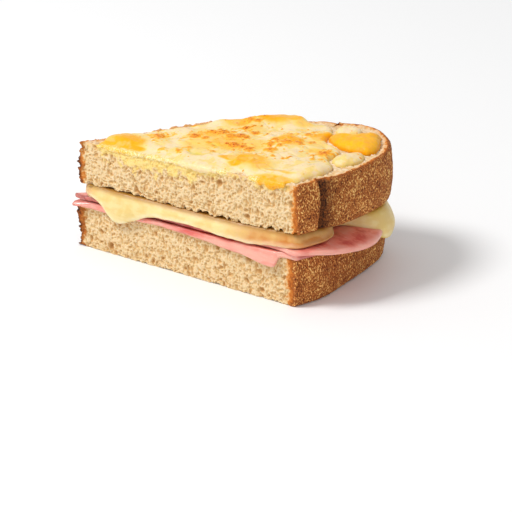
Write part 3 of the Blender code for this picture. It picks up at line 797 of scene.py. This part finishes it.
topping = dict(
    back=[(91, 0), (93.5, 4), (96.3, 11), (97.2, 18.5), (94.5, 22.9), (92.2, 24.9), (90.6, 28.5), (90.8, 32),
          (89.6, 35.8), (84, 38.8), (80.0, 41.2), (78.0, 44.9), (77.9, 48.6), (75.4, 51), (73.4, 54.0),
          (69.5, 55), (65, 54), (59.5, 56.6), (53, 58), (45.4, 48.6), (33.6, 38.3), (24.6, 27.1),
          (16.7, 16.3), (9.2, 7.6), (8.6, 0)],
    sunk=0.25,                     # how far it has sunk into the crumb
    swellings=[(16, 5, 9, 1.1), (47, 49, 14, 2.0), (58, 52, 10, 1.2), (37, 38, 9, 1.8), (66, 12, 8, 0.5),
               (92, 15, 9, 0.8), (84, 2, 8, 0.5), (45, 24, 14, 0.5), (68, 33, 12, 0.7), (28, 24, 8, 0.4)],
    centre=(54, 25),
    points=(300, 300),             # along the cut and round the back
    # how much of its thickness is left at the cut, at places along it
    frontShare=[(8, 0.4), (16, 0.45), (24, 0.35), (34, 0.3), (42, 0.35), (50, 0.7), (60, 0.75), (65, 0.4),
                (76, 0.3), (81, 0.55), (88, 0.6), (93, 0.4)],
    # how far it has run down the cut
    drops=[(8, 0), (10, 0.3), (18, 0.7), (24, 1.2), (32, 0.5), (44, 0.4), (51, 1.0), (58, 1.2), (64, 0.5),
           (69, 0.1), (76, 0.2), (80, 1.7), (83, 1.3), (86, 2.3), (89, 1.4), (92, 0)],
    drawnBack=(71.5, 6.5, 2.2),    # where it stops short of the cut: place, half width, how far
    lead=0.02,
    turnRadius=0.3,
    turnAngle=101,
    frontRounding=[(12, 1.8), (26, 3.6)],
    backRounding=[(12, 3.0), (24, 4.5), (36, 3.6), (50, 2.6)],
    # how thick with crumbs its front is, at places along the cut
    crumbly=[(8, 0.4), (20, 0.6), (28, 0.8), (40, 0.7), (45, 0.2), (61, 0.1), (65, 0.9), (79, 0.9),
             (81, 0.1), (90, 0.1)],
    # where the orange cheese shows: plan x and y, half lengths along x and y, strength
    orange=[(17.5, 4.0, 11, 9.5, 1.0), (24.6, 2.2, 4.5, 2.6, 1.3), (40, 41, 9, 6, 0.8),
            (47, 49.5, 13, 6, 1.0), (56, 52.5, 8, 4, 0.9), (70, 10, 11, 7, 0.85),
            (60, 8.2, 5, 2.0, 1.3), (67.5, 5.6, 5, 2.0, 1.2), (43, 15, 9, 7, 0.55),
            (52, 21, 10, 8, 0.75), (41, 25, 8, 6, 0.75), (69, 33, 7.5, 5, 1.2), (84, 30, 7, 4.5, 0.7),
            (64, 50, 7, 4, 0.6), (84, 7.2, 8, 1.3, 0.7), (90, 3, 6, 1.2, 0.6), (86, 0, 9, 4, 1.25),
            (50, 37, 8, 5, 0.5), (60, 24, 8, 6, 0.6), (78, 36, 6, 4, 0.5), (25, 15, 4, 3, 0.8),
            (77.5, 43.5, 5, 5, 1.25)],
    # browned spots: plan x and y, half width, darkness
    browned=[(25, 15.4, 2.0, 0.7), (37.3, 20.5, 1.9, 0.9), (41.7, 20.5, 1.3, 0.6), (39.6, 26.8, 1.2, 0.7),
             (43.4, 29.0, 1.9, 0.9), (49.1, 27.2, 1.9, 0.6), (50.9, 29.5, 1.3, 0.7), (54.7, 20.6, 1.7, 1.0),
             (58.2, 20.9, 1.3, 0.8), (45.0, 43.1, 1.2, 0.7), (48.2, 43.6, 1.0, 0.7), (48.0, 36.6, 1.5, 1.0),
             (53.4, 34.6, 1.4, 0.8), (51.6, 29.3, 1.6, 0.8), (71.4, 42.4, 1.4, 0.7), (66.5, 38.8, 0.9, 0.6),
             (70.0, 31.2, 1.1, 0.7), (73.6, 32.6, 1.1, 0.7), (64.3, 31.0, 1.0, 0.7), (65.6, 27.2, 1.4, 0.8),
             (68.6, 22.4, 1.5, 0.7), (61.3, 20.1, 1.5, 0.7), (76.5, 36.7, 0.9, 0.6), (87.1, 28.5, 1.8, 0.8),
             (41.9, 11.1, 0.9, 0.5), (41.2, 5.6, 0.9, 0.5), (34.2, 4.0, 0.6, 0.3), (45.2, 17.3, 0.7, 0.5),
             (48.7, 15.9, 0.9, 0.5), (51.2, 11.9, 0.7, 0.4), (73.7, 17.2, 0.6, 0.8), (78.0, 17.2, 0.6, 1.0),
             (87.3, 21.5, 0.7, 0.4), (90.2, 23.4, 0.7, 0.4), (29.5, 30.5, 0.8, 0.7), (44, 26, 0.8, 0.6),
             (46.5, 31, 1.0, 0.6), (56.5, 23.5, 0.9, 0.6), (67, 29, 0.9, 0.6), (69.5, 27, 0.8, 0.6)],
    olive=[(46.9, 7.7, 5, 2.2), (48, 16, 4, 2)],
    bubble=(67.7, 8.8, 2.9),       # a ring of a burst bubble: plan x and y, radius
    pale=paint(241, 214, 166),
    lemon=paint(238, 206, 124),
    golden=paint(246, 190, 74),
    deepOrange=paint(250, 171, 0),
    film=paint(250, 193, 104),     # a dry film over the orange cheese
    oliveTint=paint(220, 194, 60),
    blush=paint(236, 152, 46),
    brown=paint(206, 100, 18),
    scorched=paint(146, 60, 14),
    grains=(paint(252, 234, 178), paint(228, 192, 84)),    # crumbs held in the cheese along the cut
)


def onBread(x, y):
    return upperTop(x, y) - topping["sunk"]


def toppingThickness(x, y):
    thick = 1.9 + 0.5 * cloudy(x, y, 5.0, 9.0, 500) + 0.22 * cloudy(x, y, 5.0, 4.5, 501)
    for atX, atY, halfWidth, height in topping["swellings"]:
        thick = thick + height * bump(np.hypot(x - atX, y - atY), halfWidth)
    return thick * (1 - (1 - readOff(topping["frontShare"], x)) * eased(y, 6.0, 0.0))


def grilledFinish():
    look = Finish("grilledCheese", {"Subsurface Weight": 0.2, "Subsurface Scale": 0.002,
                                    "Subsurface Radius": (1.0, 0.6, 0.2), "Coat Roughness": 0.1,
                                    "Specular IOR Level": 0.14})
    orange, brown, olive, crumbs = (look.layer(name) for name in ("orange", "brown", "olive", "crumbs"))
    cloud = look.noise(5.0, 3, 0.5)
    patch = look.noise(2.2, 3)
    speck = look.noise(0.7, 2, 0.5)
    pale = look.mix((cloud + 0.4 * (patch - 0.5)).eased(0.46, 0.62), topping["pale"], topping["lemon"])
    spread = (orange + 0.5 * (patch - 0.5) * orange + 0.15 * (cloud - 0.5)).held()
    tint = look.mix(spread.eased(0.05, 0.45), pale, topping["lemon"])
    tint = look.mix(spread.eased(0.35, 0.75), tint, topping["golden"])
    tint = look.mix((2.4 * orange - 1.5 + 0.9 * (patch - 0.5)).held(), tint, topping["deepOrange"])
    tint = look.mix(0.75 * cloud.eased(0.5, 0.62) * spread.eased(0.5, 0.9), tint, topping["film"])
    tint = look.mix(0.7 * olive, tint, topping["oliveTint"])
    burnt = (brown * (0.35 + 0.9 * speck.eased(0.36, 0.64))).held()
    tint = look.mix(0.9 * burnt.eased(0.03, 0.4), tint, topping["blush"])
    tint = look.mix(0.9 * burnt.eased(0.35, 0.85), tint, topping["brown"])
    tint = look.mix(burnt.eased(0.9, 1.1), tint, topping["scorched"])
    grains = look.mix(speck.eased(0.38, 0.6), *topping["grains"])
    look.feed("Base Color", look.mix((crumbs * (0.5 + patch)).held(), tint, grains))
    look.feed("Roughness", 0.28 + 0.15 * cloud + 0.3 * brown)
    look.feed("Coat Weight", (0.1 + 0.6 * patch.eased(0.52, 0.66) - 0.5 * brown - 0.12 * orange).held())
    look.relief(cloud + 0.25 * patch + 0.7 * speck * (brown + crumbs), 0.3, 0.6)
    return look.material


layerRows = dict(under=(0.4, 0.8, 0.95), hanging=12, rim=6)    # shares of the way out, and counts of rows


def layerRings(centre, edge, under, thickness, rounding, rim, belly, upper, overhang=0.0, bend=0.0,
               radius=1.0, lead=0.8, normal=None):
    # a layer that lies on `under` to its edge, goes on for `lead` and then turns down by `bend`
    # round `radius` until `overhang` is used up; rows run from the underside's middle out and back
    count = len(edge)
    centre = np.array(centre, float)
    normal = outward(edge) if normal is None else normal
    overhang = np.broadcast_to(np.asarray(overhang, float), count)
    size = np.linalg.norm(edge - centre, axis=1)

    def fullness(left):
        share = np.clip(left / rounding, 0, 1)
        return rim + (1 - rim) * np.sqrt(1 - (1 - share)**2)

    def resting(share):
        plan = centre + (edge - centre) * share
        thick = thickness(*plan.T) * fullness(size * (1 - share) + overhang)
        low = np.c_[plan, under(*plan.T)]
        return low, low + np.c_[np.zeros((count, 2)), thick]

    def hanging(share):
        run = overhang * share
        turn = np.clip((run - lead) / radius, 0, bend)
        past = np.clip(run - lead - radius * bend, 0, None)
        out = np.minimum(run, lead) + radius * np.sin(turn) + past * math.cos(bend)
        down = radius * (1 - np.cos(turn)) + past * math.sin(bend)
        plan = edge + normal * out[:, None]
        low = np.c_[plan, under(*plan.T) - down]
        thick = (thickness(*edge.T) * fullness(overhang * (1 - share)))[:, None]
        return low, low + np.c_[normal * np.sin(turn)[:, None], np.cos(turn)] * thick

    pairs = [resting(share) for share in (*layerRows["under"], 1.0)]
    hangs = np.linspace(0, 1, layerRows["hanging"] + 1)[1:] if overhang.max() > 0 else []
    hung = [hanging(share) for share in hangs]
    lows = [low for low, _ in pairs + hung]
    highs = [high for _, high in hung[::-1]] + [resting(share)[1] for share in (1.0, *upper)]
    low, high = lows[-1], highs[0]
    turn = np.clip((overhang - lead) / radius, 0, bend)
    ahead = np.c_[normal * np.cos(turn)[:, None], -np.sin(turn)]
    thick = np.linalg.norm(high - low, axis=1, keepdims=True)
    rims = [low + (high - low) * (0.5 - 0.5 * math.cos(angle)) + belly * math.sin(angle) * ahead * thick
            for angle in np.linspace(0, math.pi, layerRows["rim"] + 2)[1:-1]]
    return np.array([*lows, *rims, *highs]), len(lows) + len(rims)


def grilledSpots(x, y):
    # how orange, olive, browned and blistered each place of the topping is
    warpX = x + 2.2 * layered(x, y, 0, 7.0, 520, 2)
    warpY = y + 2.2 * layered(x, y, 9.0, 7.0, 521, 2)
    orange, olive, brown, blister = (np.zeros(x.shape) for _ in range(4))
    for atX, atY, halfX, halfY, strength in topping["orange"]:
        away = np.hypot((warpX - atX) / halfX, (warpY - atY) / halfY)
        orange = np.maximum(orange, strength * eased(away, 1.25, 0.45))
    for atX, atY, halfX, halfY in topping["olive"]:
        olive = np.maximum(olive, bump(np.hypot((warpX - atX) / halfX, (warpY - atY) / halfY), 1.0))
    ragged = 1 + 1.2 * layered(x, y, 3.0, 1.1, 530, 2)
    for atX, atY, halfWidth, darkness in topping["browned"]:
        away = np.hypot(x - atX, y - atY) / (1.25 * halfWidth) * ragged
        blister = np.maximum(blister, 0.35 * bump(away, 1.6))
        brown = np.maximum(brown, darkness * eased(away, 1.5, 0.1))
        orange = np.maximum(orange, (0.85 + 0.4 * darkness) * bump(away, 2.6))
    atX, atY, ringRadius = topping["bubble"]
    away = np.hypot(x - atX, y - atY)
    blister = blister + 0.4 * np.exp(-((away - ringRadius) / 0.7)**2) + 0.2 * bump(away, ringRadius)
    return orange, olive, brown, blister


def meltedTopping(finish):
    frontCount, backCount = topping["points"]
    back = topping["back"]
    front = np.linspace(back[-1], back[0], frontCount, endpoint=False)
    edge = np.vstack([front, evenly(smoothThrough(back), backCount)])
    runsOver = np.arange(len(edge)) <= frontCount
    x = edge[:, 0]
    shortAt, shortWidth, shortBy = topping["drawnBack"]
    drops = readOff(topping["drops"], x) + 0.9 * layered(x, 0, 0, 1.6, 511, 3)
    overhang = topping["lead"] + 1.9 * topping["turnRadius"] + drops
    overhang = np.clip(overhang, 0.05, None) * (1 - 0.9 * bump(x - shortAt, shortWidth - 0.5))
    rounding = np.where(runsOver, readOff(topping["frontRounding"], x), readOff(topping["backRounding"], x))
    wander = 0.35 * layered(edge[:, 0], edge[:, 1], 0, 5.0, 510, 2)
    edge = edge + np.where(runsOver, 0, wander)[:, None] * outward(edge, 12)
    edge[:, 1] += np.where(runsOver, shortBy * bump(x - shortAt, shortWidth), 0.0)
    upper = 1 - np.r_[np.linspace(0.004, 0.06, 12), np.linspace(0.07, 0.97, 100)]
    rows, highStart = layerRings(
        topping["centre"], edge, onBread, toppingThickness, rounding, rim=0.12, belly=0.2, upper=upper,
        overhang=np.where(runsOver, overhang * eased(x, 8.4, 10), 0), bend=math.radians(topping["turnAngle"]),
        radius=topping["turnRadius"], lead=topping["lead"], normal=outward(edge, 4))

    px, py, pz = np.moveaxis(rows, 2, 0)
    orange, olive, brown, blister = grilledSpots(px, py)
    wrinkle = np.abs(cloudy(px / 2.2, py + 0.25 * px, 0, 4.5, 540))
    lift = blister + 0.25 * layered(px, py, 0, 3.5, 541, 2) - 0.2 * np.exp(-(wrinkle / 0.22)**2) - 0.3 * olive
    # the blisters fade out towards the rim, and crumbs stand out of the front instead
    row = np.arange(len(rows))[:, None]
    calm = eased(row, highStart - 3, highStart + 14)
    crumbly = readOff(topping["crumbly"], px)
    grainy = (0.1 + 0.4 * crumbly) * layered(px, py, pz, 0.9, 545, 2) + 0.05
    rows = softened(rows, (row >= highStart) * (0.15 + 0.85 * calm) * lift
                    + runsOver * (1 - calm) * (row > len(layerRows["under"])) * grainy)
    addPiece("meltedTopping", "melted_topping", "melted_cheese", rows, finish, orange=np.clip(orange, 0, 1.3),
             brown=np.clip(brown, 0, 1), olive=olive, crumbs=runsOver * eased(py, 1.4, 0.2) * crumbly)


grilledLook = grilledFinish()
meltedTopping(grilledLook)


# pieces of cheese that kept a shape of their own beside the melt, with their outlines in plan
lumps = dict(
    cheddarLump=dict(node="cheddar_lump", height=3.7, outline=[
        (99.6, 38.6), (98.8, 47), (92.7, 55.3), (86, 50.6), (78.9, 46.6), (79.2, 43.4), (84.5, 40.0),
        (91, 38.2)]),
    rightLump=dict(node="pale_lump_right", height=2.5, outline=[
        (101.2, 31.4), (98.4, 36.3), (94.3, 34.8), (91.7, 29.6), (94.0, 25.2), (98.6, 24.6)]),
    backLump=dict(node="pale_lump_back", height=2.2, outline=[
        (85.0, 54.0), (83.0, 58.0), (78.6, 59.0), (75.2, 56.8), (76.0, 53), (80.4, 50.9)]),
    points=130,
    cheddar=paint(253, 182, 10),
    cloudyCheddar=paint(248, 171, 50),
    cheddarFoot=paint(234, 146, 0),
)


def cheddarFinish():
    look = Finish("meltedCheddar", {"Subsurface Weight": 0.4, "Subsurface Scale": 0.003,
                                    "Subsurface Radius": (1.0, 0.5, 0.1), "Specular IOR Level": 0.14,
                                    "Coat Weight": 0.12, "Coat Roughness": 0.1})
    cloud = look.noise(3.0, 3, 0.5)
    tint = look.mix(cloud.eased(0.35, 0.7), lumps["cheddar"], lumps["cloudyCheddar"])
    look.feed("Base Color", look.mix(0.85 * look.layer("foot"), tint, lumps["cheddarFoot"]))
    look.feed("Roughness", 0.3 + 0.2 * cloud)
    look.relief(cloud, 0.15, 0.5)
    return look.material


def lumpRows(height, outline, seed):
    edge = evenly(smoothThrough([*outline, outline[0]]), lumps["points"])
    centre = edge.mean(axis=0)
    reach = np.linalg.norm(edge - centre, axis=1).min()
    edge = edge + 0.4 * layered(edge[:, 0], edge[:, 1], 0, 3.0, seed, 2)[:, None] * outward(edge)
    rows, _ = layerRings(centre, edge, onBread, lambda x, y: height + 0 * x, 0.95 * reach, rim=0.1,
                         belly=0.12, upper=1 - np.linspace(0.01, 0.97, 34)**1.3)
    return softened(rows, 0.4 * layered(*np.moveaxis(rows, 2, 0), 3.2, seed + 1, 2))


def footOf(rows):
    # 1 where a lump meets the bread
    x, y, z = np.moveaxis(rows, 2, 0)
    return eased(z - onBread(x, y), 1.8, 0.2)


def cheddarLump(finish, seed):
    lump = lumps["cheddarLump"]
    rows = lumpRows(lump["height"], lump["outline"], seed)
    addPiece("cheddarLump", lump["node"], "cheddar", rows, finish, foot=footOf(rows))


def paleLump(name, finish, seed):
    lump = lumps[name]
    rows = lumpRows(lump["height"], lump["outline"], seed)
    x, y, z = np.moveaxis(rows, 2, 0)
    foot = footOf(rows)
    spot = pits(x, y, 2.2, 0.6, 0.35, seed + 2) * (z > onBread(x, y) + 1)
    addPiece(name, lump["node"], "melted_cheese", rows, finish,
             orange=0.35 * foot, brown=0.5 * spot, olive=0.3 * foot, crumbs=0 * foot)


cheddarLump(cheddarFinish(), 600)
paleLump("rightLump", grilledLook, 610)
paleLump("backLump", grilledLook, 620)


studio = dict(
    floorTint=(0.92, 0.92, 0.92, 1),
    floorGrain=(0.9, 0.9, 0.9, 1),
    floorReach=3,                  # metres from the middle to each side
    world=0.6,
    key=dict(place=(-0.45, -0.55, 1.0), size=0.4, power=10),
    fill=dict(place=(0.5, -1.0, 0.35), size=0.5, power=1),
    azimuth=0.62776,               # radians, as the elevation is
    elevation=0.40143,
    target=(57.17026, 30.0, -0.59083),
    distance=1100.0,
    lens=214.7,
)


def makeFloor():
    far = studio["floorReach"]
    mesh = bpy.data.meshes.new("studioFloor")
    mesh.from_pydata([(-far, -far, 0), (far, -far, 0), (far, far, 0), (-far, far, 0)], [], [(0, 1, 2, 3)])
    look = Finish("studioFloor", {"Roughness": 0.9})
    paper = look.noise(400, 2, 0.5)
    look.feed("Base Color", look.mix(0.1 * paper, studio["floorTint"], studio["floorGrain"]))
    mesh.materials.append(look.material)
    board = bpy.data.objects.new("studioFloor", mesh)
    bpy.context.scene.collection.objects.link(board)


def addLight(name, place, size, power):
    lamp = bpy.data.lights.new(name, "AREA")
    lamp.shape, lamp.size, lamp.energy = "DISK", size, power
    holder = bpy.data.objects.new(name, lamp)
    holder.location = place
    holder.rotation_euler = (-Vector(place)).to_track_quat("-Z", "Y").to_euler()
    bpy.context.scene.collection.objects.link(holder)


def makeWorld():
    world = bpy.data.worlds.new("studio")
    world.use_nodes = True
    background = world.node_tree.nodes["Background"]
    background.inputs["Color"].default_value = (1, 1, 1, 1)
    background.inputs["Strength"].default_value = studio["world"]
    bpy.context.scene.world = world
    bpy.context.scene.view_settings.view_transform = "Standard"


def makeCamera():
    azimuth, elevation = studio["azimuth"], studio["elevation"]
    back = Vector((math.sin(azimuth) * math.cos(elevation), -math.cos(azimuth) * math.cos(elevation),
                   math.sin(elevation)))
    target = (Vector(studio["target"]) - Vector((*boxMiddle, 0))) * mm
    lens = bpy.data.cameras.new("camera")
    lens.lens, lens.sensor_width = studio["lens"], 36
    lens.clip_start, lens.clip_end = 0.05, 20
    camera = bpy.data.objects.new("camera", lens)
    camera.location = target + back * studio["distance"] * mm
    camera.rotation_euler = (-back).to_track_quat("-Z", "Y").to_euler()
    bpy.context.scene.collection.objects.link(camera)
    bpy.context.scene.camera = camera


makeFloor()
addLight("key", **studio["key"])
addLight("fill", **studio["fill"])
makeWorld()
makeCamera()
print("studio made")

bpy.context.view_layer.update()
